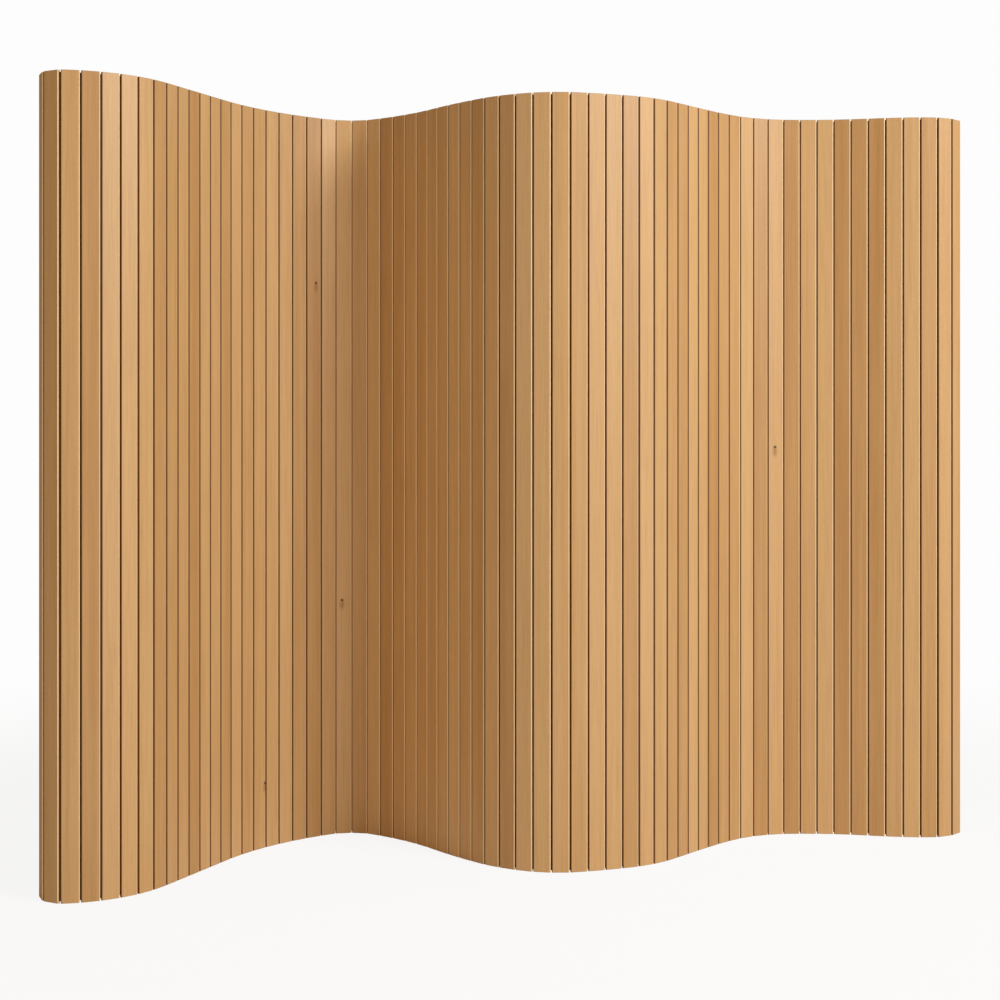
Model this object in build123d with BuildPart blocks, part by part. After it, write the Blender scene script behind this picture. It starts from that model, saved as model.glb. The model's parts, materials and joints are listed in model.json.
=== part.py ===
from build123d import *
import math
import os

# A standing screen of flat bamboo slats, glued side by side to one cloth that closes the
# joints from behind, so that the whole screen can be set in waves or rolled up.
# Millimetres. Z is up, X runs along the screen and Y runs away from the viewer.
# Seen from above, the middle of the cloth is a chain of straight runs, one behind each
# slat, and each corner of the chain is a hinge line.

# Driving dimensions
screen_height = 1650.0
slat_pitch = 39.0
slat_gap = 2.2
slat_thickness = 5.0
edge_radius = 2.0
end_easing = 0.5
cloth_thickness = 0.6
glue_line = 0.1
cloth_end_margin = 4.0
cloth_side_margin = 1.5

# The curve that the screen stands in, seen from above: the first slat's heading from X,
# then how many joints in a row have the same bend, and that bend in degrees.
# A positive bend turns the screen away from the viewer.
first_heading = -64.9
standing_angles = [
    (2, 38), (5, 10), (1, 4), (5, 0), (8, -4), (3, -22), (5, -4),
    (4, 2), (3, 7.5), (3, 12), (3, 3), (3, 8.5), (1, 1), (3, -0.5),
    (2, -3.5), (4, -9.5), (4, -3.5), (1, -1.5), (2, 4.5), (1, 6.5), (2, 22),
]

# Slats, counted from 1 at the left, that turn as one with the slat to their right
paired_slats = [42, 46, 49, 52, 55, 58, 61]

# Sizes that follow from the ones above
slat_width = slat_pitch - slat_gap
slat_back = cloth_thickness / 2 + glue_line
slat_front = slat_back + slat_thickness
cloth_height = screen_height - 2 * cloth_end_margin


def slat_headings():
    # The direction of each slat in plan, in degrees, from the left end to the right
    directions = [first_heading]
    for joint_count, bend in standing_angles:
        for _ in range(joint_count):
            directions.append(directions[-1] + bend)
    return directions


def shifted(point, heading, along, out):
    # A plan point moved along a slat's direction and out towards the slat's front
    angle = math.radians(heading)
    x = point[0] + along * math.cos(angle) + out * math.sin(angle)
    y = point[1] + along * math.sin(angle) - out * math.cos(angle)
    return (x, y)


def hinge_chain(headings):
    # The hinge lines in plan, with the two free ends of the chain
    chain = [(0.0, 0.0)]
    for heading in headings:
        chain.append(shifted(chain[-1], heading, slat_pitch, 0))
    return chain


def cloth_face(chain, headings, out):
    # One face of the cloth in plan, with its corners mitred at the hinge lines
    inset = slat_gap / 2 + cloth_side_margin
    face = [shifted(chain[0], headings[0], inset, out)]
    for corner, before, after in zip(chain[1:-1], headings, headings[1:]):
        half_bend = math.radians(after - before) / 2
        face.append(shifted(corner, (before + after) / 2, 0, out / math.cos(half_bend)))
    face.append(shifted(chain[-1], headings[-1], -inset, out))
    return face


def plan_extent(chain, headings):
    # All plan corners of the slats and the cloth's back, which bound the screen
    corners = cloth_face(chain, headings, -cloth_thickness / 2)
    for point, heading in zip(chain, headings):
        for along in (slat_gap / 2, slat_gap / 2 + slat_width):
            corners.append(shifted(point, heading, along, slat_back))
        for along in (slat_gap / 2 + edge_radius, slat_gap / 2 + slat_width - edge_radius):
            corners.append(shifted(point, heading, along, slat_front))
    return corners


def standing_plane(point, heading):
    # A level plane at a hinge line, with its X along the slat that starts there
    angle = math.radians(heading)
    return Plane(
        origin=(point[0], point[1], 0),
        x_dir=(math.cos(angle), math.sin(angle), 0),
        z_dir=(0, 0, 1),
    )


# The standing curve, moved so that the origin lies under the middle of the screen
headings = slat_headings()
chain = hinge_chain(headings)
extent = plan_extent(chain, headings)
middle_x = (min(x for x, y in extent) + max(x for x, y in extent)) / 2
middle_y = (min(y for x, y in extent) + max(y for x, y in extent)) / 2
hinges = [(x - middle_x, y - middle_y) for x, y in chain]

os.makedirs("parts", exist_ok=True)

# Slats: flat strips with rounded front edges and eased ends, in front of the cloth
slat_total = len(headings)
first = 1
while first <= slat_total:
    members = [first]
    name = f"slat_{first:02d}"
    if first in paired_slats and first < slat_total:
        members.append(first + 1)
        name = f"slats_{first:02d}_{first + 1:02d}"
    with BuildPart() as slat:
        for member in members:
            with BuildSketch(standing_plane(hinges[member - 1], headings[member - 1])) as section:
                with Locations((slat_pitch / 2, -slat_back)):
                    Rectangle(slat_width, slat_thickness, align=(Align.CENTER, Align.MAX))
                fillet(section.vertices().group_by(Axis.Y)[0], radius=edge_radius)
            extrude(amount=screen_height)
        ends = slat.faces().group_by(Axis.Z)
        chamfer(ends[0].edges() + ends[-1].edges(), length=end_easing)
    slat.part.label = name
    export_step(slat.part, f"parts/{name}.step")
    first += len(members)

# Backing cloth: one sheet behind all the slats, a little short of their ends
front_face = cloth_face(hinges, headings, cloth_thickness / 2)
back_face = cloth_face(hinges, headings, -cloth_thickness / 2)
with BuildPart() as backing_cloth:
    with BuildSketch(Plane.XY.offset(cloth_end_margin)):
        with BuildLine():
            Polyline(*front_face, *reversed(back_face), close=True)
        make_face()
    extrude(amount=cloth_height)
backing_cloth.part.label = "backing_cloth"
export_step(backing_cloth.part, "parts/backing_cloth.step")
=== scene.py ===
import bpy
import json
import math
import random
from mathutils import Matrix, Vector


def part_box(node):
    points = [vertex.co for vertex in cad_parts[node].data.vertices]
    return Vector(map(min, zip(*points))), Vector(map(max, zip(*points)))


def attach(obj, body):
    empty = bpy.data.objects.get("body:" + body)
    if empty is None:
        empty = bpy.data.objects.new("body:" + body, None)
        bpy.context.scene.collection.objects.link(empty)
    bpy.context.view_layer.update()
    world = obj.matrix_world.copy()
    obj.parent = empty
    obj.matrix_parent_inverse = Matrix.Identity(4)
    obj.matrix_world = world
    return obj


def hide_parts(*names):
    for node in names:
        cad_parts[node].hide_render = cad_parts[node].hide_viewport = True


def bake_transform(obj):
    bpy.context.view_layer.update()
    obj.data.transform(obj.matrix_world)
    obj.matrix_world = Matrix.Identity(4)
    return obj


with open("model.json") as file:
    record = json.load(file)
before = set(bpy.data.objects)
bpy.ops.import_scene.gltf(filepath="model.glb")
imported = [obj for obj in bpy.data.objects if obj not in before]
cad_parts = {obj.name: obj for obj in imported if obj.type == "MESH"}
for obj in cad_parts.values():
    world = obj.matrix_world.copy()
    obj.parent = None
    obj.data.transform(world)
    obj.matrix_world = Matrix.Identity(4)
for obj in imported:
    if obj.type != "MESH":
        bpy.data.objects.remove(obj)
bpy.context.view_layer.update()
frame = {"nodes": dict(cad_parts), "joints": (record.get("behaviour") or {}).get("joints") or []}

scene = bpy.context.scene
scene.view_settings.view_transform = "Standard"
print("frame loaded:", len(frame["nodes"]), "nodes")


# Slats and bodies, by their numbers from the left end

slatNodes = sorted(n for n in frame["nodes"] if n.startswith("slat"))


def slatNumbers(nodeName):  # slat_07 -> [7], slats_42_43 -> [42, 43]
    return [int(part) for part in nodeName.split("_")[1:]]


nodeOfSlat = {number: name for name in slatNodes for number in slatNumbers(name)}
slatTotal = len(nodeOfSlat)
print("slats:", slatTotal)


# Camera: level, at the photograph's place, its frame moved down by a lens shift

camera = {
    "place": (-0.0705, -3.6482, 0.9587),
    "focalPixels": 1697.6,
    "framePixels": 1000.0,
    "horizonRow": 419.0,
    "sensor": 36.0,
    "clipEnd": 60.0,
}
cameraData = bpy.data.cameras.new("studioCamera")
cameraData.sensor_width = camera["sensor"]
cameraData.lens = camera["focalPixels"] / camera["framePixels"] * camera["sensor"]
cameraData.shift_y = (camera["horizonRow"] - camera["framePixels"] / 2) / camera["framePixels"]
cameraData.clip_end = camera["clipEnd"]
cameraObject = bpy.data.objects.new("studioCamera", cameraData)
cameraObject.location = camera["place"]
cameraObject.rotation_euler = (math.radians(90), 0, 0)
scene.collection.objects.link(cameraObject)
scene.camera = cameraObject
print("camera set")


# Node tools

def addNode(tree, kind, place, **inputs):
    node = tree.nodes.new(kind)
    node.location = place
    for name, value in inputs.items():
        node.inputs[name.replace("_", " ")].default_value = value
    return node


def newGroup(name, inputs, outputs):  # inputs: name -> (socket kind, default); outputs: name -> socket kind
    group = bpy.data.node_groups.new(name, "ShaderNodeTree")
    for label, (kind, default) in inputs.items():
        socket = group.interface.new_socket(name=label, in_out="INPUT", socket_type=kind)
        if default is not None:
            socket.default_value = default
    for label, kind in outputs.items():
        group.interface.new_socket(name=label, in_out="OUTPUT", socket_type=kind)
    entry = group.nodes.new("NodeGroupInput")
    entry.location = (-1400, 0)
    result = group.nodes.new("NodeGroupOutput")
    result.location = (900, 0)
    return group, entry, result


def placeGroup(tree, group, place, **inputs):
    node = tree.nodes.new("ShaderNodeGroup")
    node.node_tree = group
    node.location = place
    for name, value in inputs.items():
        node.inputs[name].default_value = value
    return node


def mathNode(tree, operation, place, first=None, second=None):
    node = tree.nodes.new("ShaderNodeMath")
    node.operation = operation
    node.location = place
    for slot, value in enumerate((first, second)):
        if value is None:
            continue
        if isinstance(value, (int, float)):
            node.inputs[slot].default_value = value
        else:
            tree.links.new(value, node.inputs[slot])
    return node.outputs[0]


def rampNode(tree, place, factor, stops):  # stops: two places on the ramp, each with its grey
    node = tree.nodes.new("ShaderNodeValToRGB")
    node.location = place
    for element, (position, shade) in zip(node.color_ramp.elements, stops):
        element.position = position
        element.color = (shade, shade, shade, 1.0)
    tree.links.new(factor, node.inputs["Fac"])
    return node.outputs["Color"]


def mixColours(tree, place, factor, first, second):
    node = tree.nodes.new("ShaderNodeMix")
    node.data_type = "RGBA"
    node.location = place
    for label, value in (("Factor", factor), ("A", first), ("B", second)):
        if isinstance(value, tuple):
            node.inputs[label].default_value = value
        else:
            tree.links.new(value, node.inputs[label])
    return node.outputs["Result"]


def rangeNode(tree, place, value, source, target=(0.0, 1.0), smooth=True):
    node = addNode(tree, "ShaderNodeMapRange", place)
    if smooth:
        node.interpolation_type = "SMOOTHSTEP"
    for label, ends in (("From", source), ("To", target)):
        node.inputs[label + " Min"].default_value = ends[0]
        node.inputs[label + " Max"].default_value = ends[1]
    tree.links.new(value, node.inputs["Value"])
    return node


# Shared effects

effects = {
    "pairStep": 7.31,  # between the seeds of two slats that share a node
    "sideReach": (0.0009, 0.0026),  # behind the face, where a sawn side starts and where it is full; the side is bare of lacquer and darkened as painted shade in the gap
    "edgeTurns": (("Right", 0.3), ("Left", -0.45)),  # the normal's turn at a full rounded edge, for the painted highlight on right edges and the painted shade on left edges
    "edgeStart": 0.04,
    "slubs": {"Scale": 60.0, "Detail": 3.0, "Roughness": 0.6},
    "knotWobble": {"Scale": 420.0, "Detail": 2.0},
    "knotRagged": 0.6,
    "knotRim": 1.3,
    "knotFades": {"Knot": (0.5, 0.9), "Smudge": (0.9, 0.6)},  # how wide the rim fades, and the strength
    "smudgeSquash": 0.45,
    "clothInset": 0.0026,  # from the first slat's pitch line to the cloth's left end
    "creaseStrength": 0.75,
    "endTurns": (0.45, 0.8),
    "poreScale": 1100.0,
    "poreStops": [(0.18, 0.85), (0.42, 0.0)],
}


def buildStretchedNoise():
    # Noise drawn out along the slats: fibres, streaks and slow tone changes
    tree, entry, result = newGroup(
        "stretchedNoise",
        {"Seed": ("NodeSocketFloat", 0.0), "Across": ("NodeSocketFloat", 400.0),
         "Along": ("NodeSocketFloat", 4.0), "Detail": ("NodeSocketFloat", 3.0),
         "Roughness": ("NodeSocketFloat", 0.55)},
        {"Value": "NodeSocketFloat"},
    )
    coords = addNode(tree, "ShaderNodeTexCoord", (-1200, 200))
    scale = addNode(tree, "ShaderNodeCombineXYZ", (-1200, -200))
    for axis, source in (("X", "Across"), ("Y", "Across"), ("Z", "Along")):
        tree.links.new(entry.outputs[source], scale.inputs[axis])
    stretched = addNode(tree, "ShaderNodeVectorMath", (-900, 100))
    stretched.operation = "MULTIPLY"
    tree.links.new(coords.outputs["Object"], stretched.inputs[0])
    tree.links.new(scale.outputs[0], stretched.inputs[1])
    noise = addNode(tree, "ShaderNodeTexNoise", (-500, 100), Scale=1.0)
    noise.noise_dimensions = "4D"
    tree.links.new(stretched.outputs[0], noise.inputs["Vector"])
    tree.links.new(entry.outputs["Seed"], noise.inputs["W"])
    tree.links.new(entry.outputs["Detail"], noise.inputs["Detail"])
    tree.links.new(entry.outputs["Roughness"], noise.inputs["Roughness"])
    tree.links.new(noise.outputs["Fac"], result.inputs["Value"])
    return tree


def buildSlatSeed():
    # A seed and a tone for each slat, also where two share a node, and masks of its sides and edges, where
    # painted shade and a painted highlight are laid on
    outputs = {label: "NodeSocketFloat" for label in ("Seed", "Tone", "Side", "Right", "Left")}
    tree, _, result = newGroup("slatSeed", {}, outputs)
    seed = addNode(tree, "ShaderNodeAttribute", (-900, 200))
    seed.attribute_type = "OBJECT"
    seed.attribute_name = "slatSeed"
    split = addNode(tree, "ShaderNodeAttribute", (-900, -100))
    split.attribute_type = "OBJECT"
    split.attribute_name = "slatSplit"
    coords = addNode(tree, "ShaderNodeTexCoord", (-900, -400))
    apart = addNode(tree, "ShaderNodeSeparateXYZ", (-700, -400))
    tree.links.new(coords.outputs["Object"], apart.inputs[0])
    second = mathNode(tree, "GREATER_THAN", (-400, -200), apart.outputs["X"], split.outputs["Fac"])
    step = mathNode(tree, "MULTIPLY", (-200, -200), second, effects["pairStep"])
    whole = mathNode(tree, "ADD", (0, 0), seed.outputs["Fac"], step)
    white = addNode(tree, "ShaderNodeTexWhiteNoise", (250, -150))
    white.noise_dimensions = "1D"
    tree.links.new(whole, white.inputs["W"])
    tree.links.new(whole, result.inputs["Seed"])
    tree.links.new(white.outputs["Value"], result.inputs["Tone"])

    faces = []
    for label in ("faceA", "faceB"):  # outward direction and reach of the left and the right slat
        face = addNode(tree, "ShaderNodeAttribute", (-900, -700))
        face.attribute_type = "OBJECT"
        face.attribute_name = label
        faces.append(face.outputs["Vector"])
    face = addNode(tree, "ShaderNodeMix", (-600, -700))
    face.data_type = "VECTOR"
    tree.links.new(second, face.inputs[0])
    tree.links.new(faces[0], face.inputs[4])
    tree.links.new(faces[1], face.inputs[5])
    parts = addNode(tree, "ShaderNodeSeparateXYZ", (-400, -700))
    tree.links.new(face.outputs[1], parts.inputs[0])
    outX = mathNode(tree, "MULTIPLY", (-200, -600), apart.outputs["X"], parts.outputs["X"])
    outY = mathNode(tree, "MULTIPLY", (-200, -800), apart.outputs["Y"], parts.outputs["Y"])
    outward = mathNode(tree, "ADD", (0, -700), outX, outY)
    behind = mathNode(tree, "SUBTRACT", (200, -700), parts.outputs["Z"], outward)
    side = rangeNode(tree, (450, -700), behind, effects["sideReach"])
    tree.links.new(side.outputs[0], result.inputs["Side"])

    shape = addNode(tree, "ShaderNodeNewGeometry", (-600, -1100))
    turned = addNode(tree, "ShaderNodeSeparateXYZ", (-400, -1100))
    tree.links.new(shape.outputs["Normal"], turned.inputs[0])
    acrossX = mathNode(tree, "MULTIPLY", (-200, -1000), turned.outputs["Y"], parts.outputs["X"])
    acrossY = mathNode(tree, "MULTIPLY", (-200, -1200), turned.outputs["X"], parts.outputs["Y"])
    across = mathNode(tree, "SUBTRACT", (0, -1100), acrossX, acrossY)
    # masks for the painted highlight on the right rounded edge and the painted shade on the left one
    for label, end in effects["edgeTurns"]:
        edge = rangeNode(tree, (450, -1100), across, (end * effects["edgeStart"], end))
        tree.links.new(edge.outputs[0], result.inputs[label])
    return tree


def buildWeave():
    # A plain weave of upright and level threads, as a height, and its uneven slubs
    tree, entry, result = newGroup(
        "plainWeave",
        {"Threads": ("NodeSocketFloat", 900.0), "Loose": ("NodeSocketFloat", 0.35)},
        {"Height": "NodeSocketFloat", "Slub": "NodeSocketFloat"},
    )
    coords = addNode(tree, "ShaderNodeTexCoord", (-1300, 100))
    apart = addNode(tree, "ShaderNodeSeparateXYZ", (-1100, 100))
    tree.links.new(coords.outputs["UV"], apart.inputs[0])
    across = mathNode(tree, "MULTIPLY", (-900, 200), apart.outputs["X"], entry.outputs["Threads"])
    along = mathNode(tree, "MULTIPLY", (-900, 0), apart.outputs["Y"], entry.outputs["Threads"])
    turnA = mathNode(tree, "MULTIPLY", (-800, 200), across, math.pi)
    turnB = mathNode(tree, "MULTIPLY", (-800, 0), along, math.pi)
    waveA = mathNode(tree, "SINE", (-700, 200), turnA)
    waveB = mathNode(tree, "SINE", (-700, 0), turnB)
    crossing = mathNode(tree, "MULTIPLY", (-500, 100), waveA, waveB)
    height = mathNode(tree, "ADD", (-300, 100), mathNode(tree, "MULTIPLY", (-400, 100), crossing, 0.5), 0.5)
    slub = addNode(tree, "ShaderNodeTexNoise", (-700, -300), **effects["slubs"])
    tree.links.new(coords.outputs["Object"], slub.inputs["Vector"])
    loose = mathNode(tree, "MULTIPLY", (-300, -300), slub.outputs["Fac"], entry.outputs["Loose"])
    total = mathNode(tree, "ADD", (0, 0), height, loose)
    tree.links.new(total, result.inputs["Height"])
    tree.links.new(slub.outputs["Fac"], result.inputs["Slub"])
    return tree


def buildKnotMarks():
    # A small round knot at the slat's own place for it, with a stain under it
    tree, entry, result = newGroup(
        "knotMarks",
        {"Radius": ("NodeSocketFloat", 0.004), "SmudgeRadius": ("NodeSocketFloat", 0.008),
         "Drop": ("NodeSocketFloat", 0.01)},
        {"Knot": "NodeSocketFloat", "Smudge": "NodeSocketFloat"},
    )
    coords = addNode(tree, "ShaderNodeTexCoord", (-1200, 200))
    place = addNode(tree, "ShaderNodeAttribute", (-1200, -100))
    place.attribute_type = "OBJECT"
    place.attribute_name = "knotPlace"
    offset = addNode(tree, "ShaderNodeVectorMath", (-950, 100))
    offset.operation = "SUBTRACT"
    tree.links.new(coords.outputs["Object"], offset.inputs[0])
    tree.links.new(place.outputs["Vector"], offset.inputs[1])
    wobble = addNode(tree, "ShaderNodeTexNoise", (-950, -200), **effects["knotWobble"])
    tree.links.new(coords.outputs["Object"], wobble.inputs["Vector"])
    rough = mathNode(tree, "MULTIPLY", (-600, -200), wobble.outputs["Fac"], effects["knotRagged"])
    apart = addNode(tree, "ShaderNodeSeparateXYZ", (-700, 100))
    tree.links.new(offset.outputs[0], apart.inputs[0])
    lowered = mathNode(tree, "ADD", (-500, 0), apart.outputs["Z"], entry.outputs["Drop"])
    drawn = mathNode(tree, "MULTIPLY", (-350, 0), lowered, effects["smudgeSquash"])
    rim = effects["knotRim"]
    for label, height, size in (("Knot", apart.outputs["Z"], "Radius"), ("Smudge", drawn, "SmudgeRadius")):
        spread, strength = effects["knotFades"][label]
        whole = addNode(tree, "ShaderNodeCombineXYZ", (-200, 300))
        for axis in ("X", "Y"):
            tree.links.new(apart.outputs[axis], whole.inputs[axis])
        tree.links.new(height, whole.inputs["Z"])
        reach = addNode(tree, "ShaderNodeVectorMath", (0, 300))
        reach.operation = "LENGTH"
        tree.links.new(whole.outputs[0], reach.inputs[0])
        share = mathNode(tree, "DIVIDE", (150, 300), reach.outputs["Value"], entry.outputs[size])
        ragged = mathNode(tree, "ADD", (300, 300), share, rough)
        fade = rangeNode(tree, (500, 300), ragged, (rim - spread, rim), (strength, 0.0))
        tree.links.new(fade.outputs[0], result.inputs[label])
    return tree


def buildJointCrease():
    # Where the cloth bends between two slats, one line for each pitch along it; it is pressed in as a bump
    # and darkened as painted shade
    tree, entry, result = newGroup(
        "jointCrease",
        {"Pitch": ("NodeSocketFloat", 0.039), "Width": ("NodeSocketFloat", 0.05)},
        {"Mask": "NodeSocketFloat"},
    )
    coords = addNode(tree, "ShaderNodeTexCoord", (-1000, 0))
    apart = addNode(tree, "ShaderNodeSeparateXYZ", (-800, 0))
    tree.links.new(coords.outputs["UV"], apart.inputs[0])
    fromStart = mathNode(tree, "ADD", (-700, 0), apart.outputs["X"], effects["clothInset"])
    turns = mathNode(tree, "DIVIDE", (-600, 0), fromStart, entry.outputs["Pitch"])
    nearest = mathNode(tree, "ROUND", (-400, -100), turns)
    beside = mathNode(tree, "SUBTRACT", (-300, 0), turns, nearest)
    gap = mathNode(tree, "ABSOLUTE", (-200, 0), beside)
    fade = rangeNode(tree, (200, 0), gap, (0.0, 1.0), (effects["creaseStrength"], 0.0))
    tree.links.new(entry.outputs["Width"], fade.inputs["From Max"])
    tree.links.new(fade.outputs[0], result.inputs["Mask"])
    return tree


def buildSawnEnds():
    # The slats' level end faces, and the fibre bundles that show as dots in them
    tree, _, result = newGroup("sawnEnds", {}, {"Ends": "NodeSocketFloat", "Pores": "NodeSocketFloat"})
    shape = addNode(tree, "ShaderNodeNewGeometry", (-900, 200))
    apart = addNode(tree, "ShaderNodeSeparateXYZ", (-700, 200))
    tree.links.new(shape.outputs["True Normal"], apart.inputs[0])
    level = mathNode(tree, "ABSOLUTE", (-500, 200), apart.outputs["Z"])
    ends = rangeNode(tree, (-300, 200), level, effects["endTurns"], smooth=False)
    coords = addNode(tree, "ShaderNodeTexCoord", (-900, -200))
    cells = addNode(tree, "ShaderNodeTexVoronoi", (-600, -200), Scale=effects["poreScale"])
    tree.links.new(coords.outputs["Object"], cells.inputs["Vector"])
    pores = rampNode(tree, (-300, -200), cells.outputs["Distance"], effects["poreStops"])
    tree.links.new(ends.outputs[0], result.inputs["Ends"])
    tree.links.new(pores, result.inputs["Pores"])
    return tree


stretchedNoise = buildStretchedNoise()
slatSeedGroup = buildSlatSeed()
plainWeave = buildWeave()
knotMarks = buildKnotMarks()
jointCrease = buildJointCrease()
sawnEnds = buildSawnEnds()
print("shared effects built")


# Cloth

cloth = {
    "colour": (0.120, 0.044, 0.010, 1.0),
    "threadColour": (0.250, 0.110, 0.036, 1.0),
    # painted shade along each crease, in the gap between slats
    "paintedCreaseShade": (0.080, 0.028, 0.006, 1.0),
    "thickness": 0.0006,
    "bendWidth": 0.0022,
    "bendSteps": 8,
    "pitch": 0.039,
    "cornerSpacing": 0.005,
    "threads": 1400.0,
    "weaveDepth": 0.00012,
    "creaseWidth": 0.05,
    "creaseDepth": 3.0,
    "roughness": 0.92,
    "specular": 0.12,
    "loose": 0.35,
    "threadShare": 0.45,
    "slubShare": 0.75,
    "shadeStops": [(0.35, 0.0), (0.95, 1.0)],
    "weaveStrength": 0.7,
    "sharpAngle": 40,
}


# Bamboo

bamboo = {
    "pale": (0.605, 0.372, 0.166, 1.0),
    "deep": (0.45, 0.238, 0.080, 1.0),
    "fibre": (0.27, 0.120, 0.032, 1.0),
    # the slats' sides in the gaps, darkened as painted shade; they are also bare of lacquer
    "side": (0.25, 0.095, 0.018, 1.0),
    "sideShadeShare": 0.85,
    # painted highlight on each slat's right rounded edge, facing the key light, and painted shade on its
    # left rounded edge, turned away from it
    "rightEdgeHighlight": (0.92, 0.68, 0.40, 1.0),
    "leftEdgeShade": (0.16, 0.060, 0.012, 1.0),
    "edgeLightShare": 0.95,
    "endGrain": (0.36, 0.215, 0.095, 1.0),
    "endPores": (0.10, 0.045, 0.014, 1.0),
    "knot": (0.050, 0.016, 0.004, 1.0),
    "smudge": (0.26, 0.105, 0.028, 1.0),
    "roughness": (0.40, 0.56),
    "coat": 0.12,
    "coatRoughness": 0.35,
    "specular": 0.5,
    "ior": 1.48,
    "streaks": {"Across": 95.0, "Along": 1.1, "Detail": 3.0, "Roughness": 0.6},
    "fibres": {"Across": 820.0, "Along": 9.0, "Detail": 4.0, "Roughness": 0.65},
    "cloud": {"Across": 14.0, "Along": 2.2, "Detail": 2.0, "Roughness": 0.5},
    "slatTone": 0.80,
    "streakTone": 0.9,
    "cloudTone": 0.5,
    "toneScale": 0.56,
    "toneStops": [(0.32, 0.0), (0.78, 1.0)],
    "fibreStops": [(0.30, 0.34), (0.52, 0.0)],
    "fibreStrength": 0.6,
    "fibreDepth": 0.00005,
    "faceDepth": 0.0054,
    "knotRadius": 0.0042,
    "smudgeRadius": 0.0085,
    "smudgeDrop": 0.010,
    "knots": [(316, 283), (775, 447), (342, 600), (265, 783)],
    "noKnot": (0.0, 0.0, -9.0),  # far below the floor
    "noSplit": 9.0,  # far right of the screen
    "seed": 66,
    "seedStep": 3.17,
}


def buildBambooMaterial():
    material = bpy.data.materials.new("goldenBamboo")
    material.use_nodes = True
    tree = material.node_tree
    tree.nodes.clear()
    output = addNode(tree, "ShaderNodeOutputMaterial", (1500, 0))
    shader = addNode(tree, "ShaderNodeBsdfPrincipled", (1200, 0))
    shader.inputs["IOR"].default_value = bamboo["ior"]
    shader.inputs["Coat Roughness"].default_value = bamboo["coatRoughness"]
    tree.links.new(shader.outputs[0], output.inputs["Surface"])

    seed = placeGroup(tree, slatSeedGroup, (-1200, 0))
    streaks = placeGroup(tree, stretchedNoise, (-900, 300), **bamboo["streaks"])
    fibres = placeGroup(tree, stretchedNoise, (-900, 0), **bamboo["fibres"])
    cloud = placeGroup(tree, stretchedNoise, (-900, -300), **bamboo["cloud"])
    for noise in (streaks, fibres, cloud):
        tree.links.new(seed.outputs["Seed"], noise.inputs["Seed"])

    slatTone = mathNode(tree, "MULTIPLY", (-600, 100), seed.outputs["Tone"], bamboo["slatTone"])
    streakTone = mathNode(tree, "MULTIPLY", (-600, -50), streaks.outputs["Value"], bamboo["streakTone"])
    cloudTone = mathNode(tree, "MULTIPLY", (-500, -200), cloud.outputs["Value"], bamboo["cloudTone"])
    tone = mathNode(tree, "ADD", (-500, 100), slatTone, streakTone)
    tone = mathNode(tree, "ADD", (-400, 100), tone, cloudTone)
    scaledTone = mathNode(tree, "MULTIPLY", (-300, 100), tone, bamboo["toneScale"])
    toneMask = rampNode(tree, (-200, 100), scaledTone, bamboo["toneStops"])
    base = mixColours(tree, (150, 200), toneMask, bamboo["deep"], bamboo["pale"])
    fibreMask = rampNode(tree, (-200, -250), fibres.outputs["Value"], bamboo["fibreStops"])
    coloured = mixColours(tree, (450, 150), fibreMask, base, bamboo["fibre"])
    marks = placeGroup(tree, knotMarks, (150, 600), Radius=bamboo["knotRadius"],
                       SmudgeRadius=bamboo["smudgeRadius"], Drop=bamboo["smudgeDrop"])
    # darken the sides as painted shade in the gaps between slats
    sideShadeShare = mathNode(tree, "MULTIPLY", (450, 350), seed.outputs["Side"], bamboo["sideShadeShare"])
    lacquer = mathNode(tree, "SUBTRACT", (700, -500), 1.0, seed.outputs["Side"])
    coat = mathNode(tree, "MULTIPLY", (900, -500), lacquer, bamboo["coat"])
    tree.links.new(coat, shader.inputs["Coat Weight"])
    specular = mathNode(tree, "MULTIPLY", (900, -650), lacquer, bamboo["specular"])
    tree.links.new(specular, shader.inputs["Specular IOR Level"])

    edged = coloured
    # paint a highlight on the right rounded edges and shade on the left ones
    for label, shade in (("Right", bamboo["rightEdgeHighlight"]), ("Left", bamboo["leftEdgeShade"])):
        edgeLightShare = mathNode(tree, "MULTIPLY", (450, 500), seed.outputs[label], bamboo["edgeLightShare"])
        edged = mixColours(tree, (500, 400), edgeLightShare, edged, shade)
    sideShaded = mixColours(tree, (540, 300), sideShadeShare, edged, bamboo["side"])
    smudged = mixColours(tree, (620, 300), marks.outputs["Smudge"], sideShaded, bamboo["smudge"])
    knotted = mixColours(tree, (780, 300), marks.outputs["Knot"], smudged, bamboo["knot"])
    sawn = placeGroup(tree, sawnEnds, (450, 600))
    pores = mixColours(tree, (780, 600), sawn.outputs["Pores"], bamboo["endGrain"], bamboo["endPores"])
    ended = mixColours(tree, (960, 300), sawn.outputs["Ends"], knotted, pores)
    tree.links.new(ended, shader.inputs["Base Color"])

    rough = rangeNode(tree, (450, -200), fibres.outputs["Value"], (0.0, 1.0), bamboo["roughness"],
                      smooth=False)
    tree.links.new(rough.outputs[0], shader.inputs["Roughness"])

    bump = addNode(tree, "ShaderNodeBump", (800, -300), Strength=bamboo["fibreStrength"],
                   Distance=bamboo["fibreDepth"])
    tree.links.new(fibres.outputs["Value"], bump.inputs["Height"])
    tree.links.new(bump.outputs[0], shader.inputs["Normal"])
    return material


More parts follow.
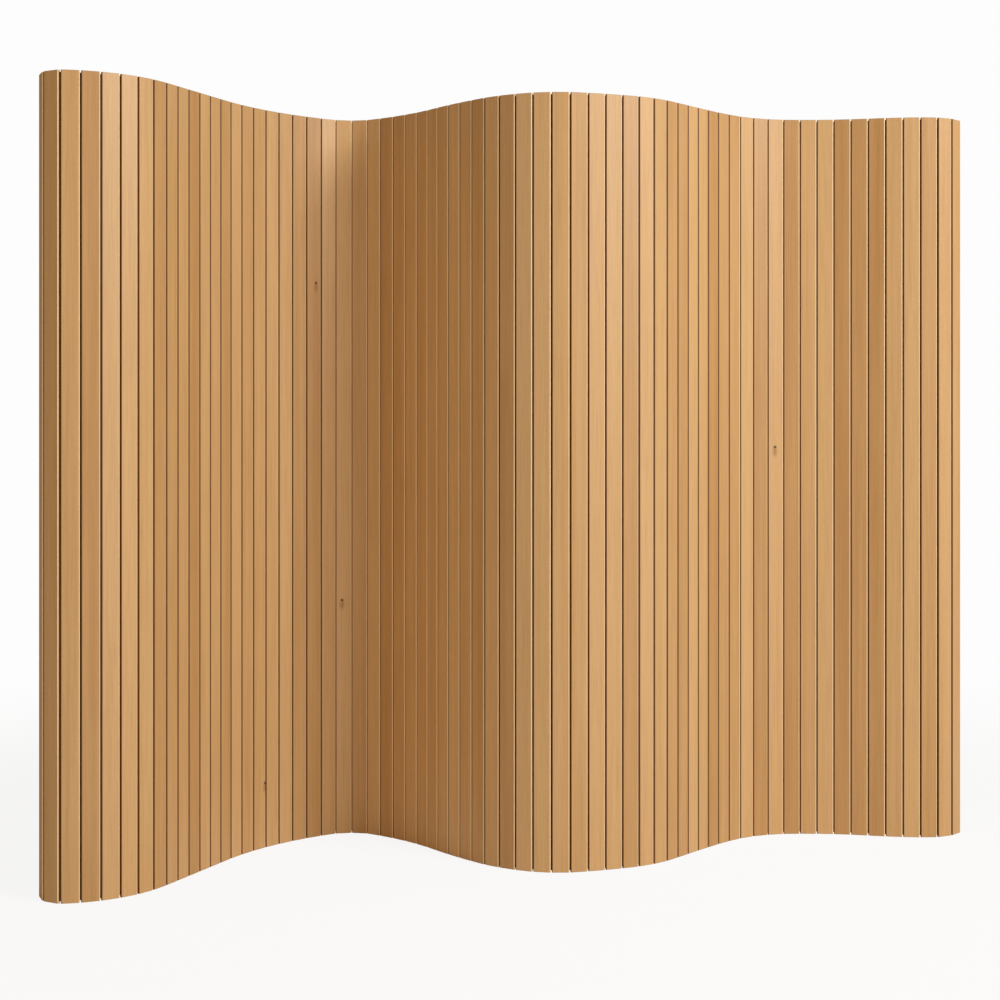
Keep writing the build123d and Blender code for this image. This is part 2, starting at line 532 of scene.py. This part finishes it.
def clothLine():
    # The cloth's middle in plan: its left end, every hinge line from left to right, its right end
    vertices = frame["nodes"]["backing_cloth"].data.vertices
    plan = sorted({(round(v.co.x, 6), round(v.co.y, 6)) for v in vertices})
    groups = [[plan[0]]]
    for point in plan[1:]:
        if point[0] - groups[-1][-1][0] > cloth["cornerSpacing"]:
            groups.append([])
        groups[-1].append(point)
    line = [Vector((sum(p[0] for p in group) / len(group), sum(p[1] for p in group) / len(group), 0.0))
            for group in groups]
    for joint in frame["joints"]:  # the hinge lines where the cloth runs straight on
        place = Vector((joint["pos_m"][0], joint["pos_m"][1], 0.0))
        if min((place - corner).length for corner in line) > cloth["cornerSpacing"]:
            line.append(place)
    return sorted(line, key=lambda corner: corner.x)


def slatFace(number):  # the slat's outward direction in plan, and how far out its face lies
    corner = corners[number]
    along = (corner - corners[number - 1]).normalized()
    return (along.y, -along.x, corner.x * along.y - corner.y * along.x + bamboo["faceDepth"])


def knotPlace(pixel):  # the slat that a picture point shows, and the point's place on its face
    aside = (pixel[0] - camera["framePixels"] / 2) / camera["focalPixels"]
    rise = (camera["horizonRow"] - pixel[1]) / camera["focalPixels"]
    eye = Vector(camera["place"])
    for number in range(1, slatTotal + 1):
        left, right = corners[number - 1], corners[number]
        along = (right - left).normalized()
        out = Vector((along.y, -along.x, 0.0)) * bamboo["faceDepth"]
        away = Vector((aside, 1.0, 0.0))
        gap = left + out - eye
        gap.z = 0.0
        reach = (gap.x * along.y - gap.y * along.x) / (away.x * along.y - away.y * along.x)
        place = eye + Vector((aside, 1.0, rise)) * reach
        if 0 <= (place - left).dot(along) <= (right - left).length:
            return number, place
    return None, None


corners = clothLine()
bambooMaterial = buildBambooMaterial()
random.seed(bamboo["seed"])
for nodeName in slatNodes:
    slat = frame["nodes"][nodeName]
    numbers = slatNumbers(nodeName)
    slat["slatSeed"] = numbers[0] * bamboo["seedStep"] + random.random()
    slat["slatSplit"] = corners[numbers[0]].x if len(numbers) > 1 else bamboo["noSplit"]
    slat["faceA"] = slatFace(numbers[0])
    slat["faceB"] = slatFace(numbers[-1])
    slat["knotPlace"] = bamboo["noKnot"]
    for materialSlot in slat.material_slots:
        materialSlot.material = bambooMaterial
for pixel in bamboo["knots"]:
    number, place = knotPlace(pixel)
    if number:
        frame["nodes"][nodeOfSlat[number]]["knotPlace"] = tuple(place)
print("slats finished:", len(slatNodes), "nodes")


# Backing cloth: one strip across each joint, from the middle of one slat to the middle of the next

def buildClothMaterial():
    material = bpy.data.materials.new("brownCanvas")
    material.use_nodes = True
    tree = material.node_tree
    tree.nodes.clear()
    output = addNode(tree, "ShaderNodeOutputMaterial", (1100, 0))
    shader = addNode(tree, "ShaderNodeBsdfPrincipled", (800, 0))
    shader.inputs["Roughness"].default_value = cloth["roughness"]
    shader.inputs["Specular IOR Level"].default_value = cloth["specular"]
    tree.links.new(shader.outputs[0], output.inputs["Surface"])
    weave = placeGroup(tree, plainWeave, (-400, 0), Threads=cloth["threads"], Loose=cloth["loose"])
    threads = mathNode(tree, "MULTIPLY", (-200, 250), weave.outputs["Height"], cloth["threadShare"])
    slubs = mathNode(tree, "MULTIPLY", (-200, 100), weave.outputs["Slub"], cloth["slubShare"])
    mixed = mathNode(tree, "ADD", (-100, 200), threads, slubs)
    shade = rampNode(tree, (0, 150), mixed, cloth["shadeStops"])
    base = mixColours(tree, (400, 150), shade, cloth["colour"], cloth["threadColour"])
    crease = placeGroup(tree, jointCrease, (-400, 400), Pitch=cloth["pitch"], Width=cloth["creaseWidth"])
    # darken the creases as painted shade
    creaseShaded = mixColours(tree, (600, 250), crease.outputs["Mask"], base, cloth["paintedCreaseShade"])
    tree.links.new(creaseShaded, shader.inputs["Base Color"])
    bump = addNode(tree, "ShaderNodeBump", (400, -200), Strength=cloth["weaveStrength"],
                   Distance=cloth["weaveDepth"])
    pressed = mathNode(tree, "MULTIPLY", (0, -200), crease.outputs["Mask"], cloth["creaseDepth"])
    relief = mathNode(tree, "SUBTRACT", (200, -200), weave.outputs["Height"], pressed)
    tree.links.new(relief, bump.inputs["Height"])
    tree.links.new(bump.outputs[0], shader.inputs["Normal"])
    return material


def stripLine(number):  # the strip's middle in plan, across the hinge line right of this slat
    corner = corners[number]
    start = corners[0] if number == 1 else (corners[number - 1] + corner) / 2
    end = corners[-1] if number == slatTotal - 1 else (corner + corners[number + 1]) / 2
    before = corner - (corner - start).normalized() * cloth["bendWidth"] / 2
    after = corner + (end - corner).normalized() * cloth["bendWidth"] / 2
    line = [start]
    for step in range(cloth["bendSteps"] + 1):
        share = step / cloth["bendSteps"]
        line.append(before * (1 - share) ** 2 + corner * 2 * share * (1 - share) + after * share ** 2)
    return line + [end]


def buildStrip(number, reached):
    line = stripLine(number)
    half = cloth["thickness"] / 2
    low, high = clothBox[0].z, clothBox[1].z
    vertices, lengths = [], [reached]
    for index, point in enumerate(line):
        ahead = line[min(index + 1, len(line) - 1)] - line[max(index - 1, 0)]
        side = Vector((ahead.y, -ahead.x, 0.0)).normalized() * half
        for place in (point + side, point - side):
            vertices += [(place.x, place.y, low), (place.x, place.y, high)]
        if index:
            lengths.append(lengths[-1] + (point - line[index - 1]).length)
    faces = []
    for index in range(len(line) - 1):
        a, b = index * 4, index * 4 + 4
        faces += [(a, b, b + 1, a + 1), (b + 2, a + 2, a + 3, b + 3)]
        faces += [(a + 1, b + 1, b + 3, a + 3), (a + 2, b + 2, b, a)]
    last = len(vertices) - 4
    faces += [(2, 0, 1, 3), (last, last + 2, last + 3, last + 1)]
    name = f"clothStrip{number:02d}"
    mesh = bpy.data.meshes.new(name)
    mesh.from_pydata(vertices, [], faces)
    layer = mesh.uv_layers.new(name="clothMetres")
    for loop in mesh.loops:
        layer.data[loop.index].uv = (lengths[loop.vertex_index // 4], vertices[loop.vertex_index][2])
    mesh.materials.append(clothMaterial)
    mesh.shade_smooth()
    mesh.set_sharp_from_angle(angle=math.radians(cloth["sharpAngle"]))
    strip = bpy.data.objects.new(name, mesh)
    scene.collection.objects.link(strip)
    return strip, line, lengths[-1]


clothMaterial = buildClothMaterial()
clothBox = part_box("backing_cloth")
reached = 0.0
for number in range(1, slatTotal):
    strip, line, total = buildStrip(number, reached)
    leftNode, rightNode = nodeOfSlat[number], nodeOfSlat[number + 1]
    if leftNode == rightNode:
        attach(strip, leftNode)
    else:
        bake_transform(strip)
    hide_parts("backing_cloth")
    reached = total
print("cloth strips:", slatTotal - 1, "flat width", round(reached, 3))


# Studio: pale floor and backdrop, a key light from the right front, and plain fill

studio = {
    "floorShade": (0.88, 0.88, 0.87, 1.0),
    "floorSize": 26.0,
    "seenShade": (0.982, 0.982, 0.982, 1.0),
    "seenShare": (0.90, 1.0),
    "seenReach": (1.3, 3.2),
    "key": {"place": (4.7, -3.4, 4.0), "size": (2.4, 2.6), "power": 350.0, "colour": (1.0, 0.99, 0.97)},
    "fill": {"place": (-3.0, -3.8, 2.0), "size": (2.4, 2.4), "power": 30.0, "colour": (1.0, 0.86, 0.68)},
    "aim": (0.0, 0.0, 0.85),
    "worldColour": (1.0, 0.80, 0.56, 1.0),
    "worldStrength": 0.31,
}


def seenWhite(tree, place):  # 1 for rays that see the backdrop itself, from the camera or through glass
    path = addNode(tree, "ShaderNodeLightPath", place)
    return mathNode(tree, "MAXIMUM", (place[0] + 200, place[1]), path.outputs["Is Camera Ray"],
                    path.outputs["Is Transmission Ray"])


def buildWorld():
    world = bpy.data.worlds.new("studioWorld")
    scene.world = world
    world.use_nodes = True
    tree = world.node_tree
    tree.nodes.clear()
    output = addNode(tree, "ShaderNodeOutputWorld", (800, 0))
    soft = addNode(tree, "ShaderNodeBackground", (300, 150), Strength=studio["worldStrength"])
    soft.inputs["Color"].default_value = studio["worldColour"]
    white = addNode(tree, "ShaderNodeBackground", (300, -150), Strength=1.0)
    white.inputs["Color"].default_value = studio["seenShade"]
    mixed = addNode(tree, "ShaderNodeMixShader", (550, 0))
    tree.links.new(seenWhite(tree, (-500, 200)), mixed.inputs[0])
    tree.links.new(soft.outputs[0], mixed.inputs[1])
    tree.links.new(white.outputs[0], mixed.inputs[2])
    tree.links.new(mixed.outputs[0], output.inputs["Surface"])


def buildFloor():
    material = bpy.data.materials.new("paleFloor")
    material.use_nodes = True
    tree = material.node_tree
    tree.nodes.clear()
    output = addNode(tree, "ShaderNodeOutputMaterial", (800, 0))
    plain = addNode(tree, "ShaderNodeBsdfDiffuse", (200, 150))
    plain.inputs["Color"].default_value = studio["floorShade"]
    white = addNode(tree, "ShaderNodeEmission", (200, -150), Strength=1.0)
    mixed = addNode(tree, "ShaderNodeMixShader", (500, 0))
    white.inputs["Color"].default_value = studio["seenShade"]
    coords = addNode(tree, "ShaderNodeTexCoord", (-700, 600))
    away = addNode(tree, "ShaderNodeVectorMath", (-500, 600))
    away.operation = "LENGTH"
    tree.links.new(coords.outputs["Object"], away.inputs[0])
    share = rangeNode(tree, (-300, 600), away.outputs["Value"], studio["seenReach"], studio["seenShare"])
    whiteShare = mathNode(tree, "MULTIPLY", (0, 300), seenWhite(tree, (-500, 300)), share.outputs[0])
    tree.links.new(whiteShare, mixed.inputs[0])
    tree.links.new(plain.outputs[0], mixed.inputs[1])
    tree.links.new(white.outputs[0], mixed.inputs[2])
    tree.links.new(mixed.outputs[0], output.inputs["Surface"])
    half = studio["floorSize"]
    mesh = bpy.data.meshes.new("paleFloor")
    floorCorners = [(-half, -half, 0), (half, -half, 0), (half, half, 0), (-half, half, 0)]
    mesh.from_pydata(floorCorners, [], [(0, 1, 2, 3)])
    mesh.materials.append(material)
    floor = bpy.data.objects.new("paleFloor", mesh)
    scene.collection.objects.link(floor)


def addLight(name, values):
    data = bpy.data.lights.new(name, "AREA")
    data.shape = "RECTANGLE"
    data.size, data.size_y = values["size"]
    data.energy = values["power"]
    data.color = values["colour"]
    light = bpy.data.objects.new(name, data)
    light.location = values["place"]
    direction = Vector(studio["aim"]) - Vector(values["place"])
    light.rotation_euler = direction.to_track_quat("-Z", "Y").to_euler()
    scene.collection.objects.link(light)


buildWorld()
buildFloor()
for lightName in ("key", "fill"):
    addLight(lightName + "Light", studio[lightName])
print("studio set")
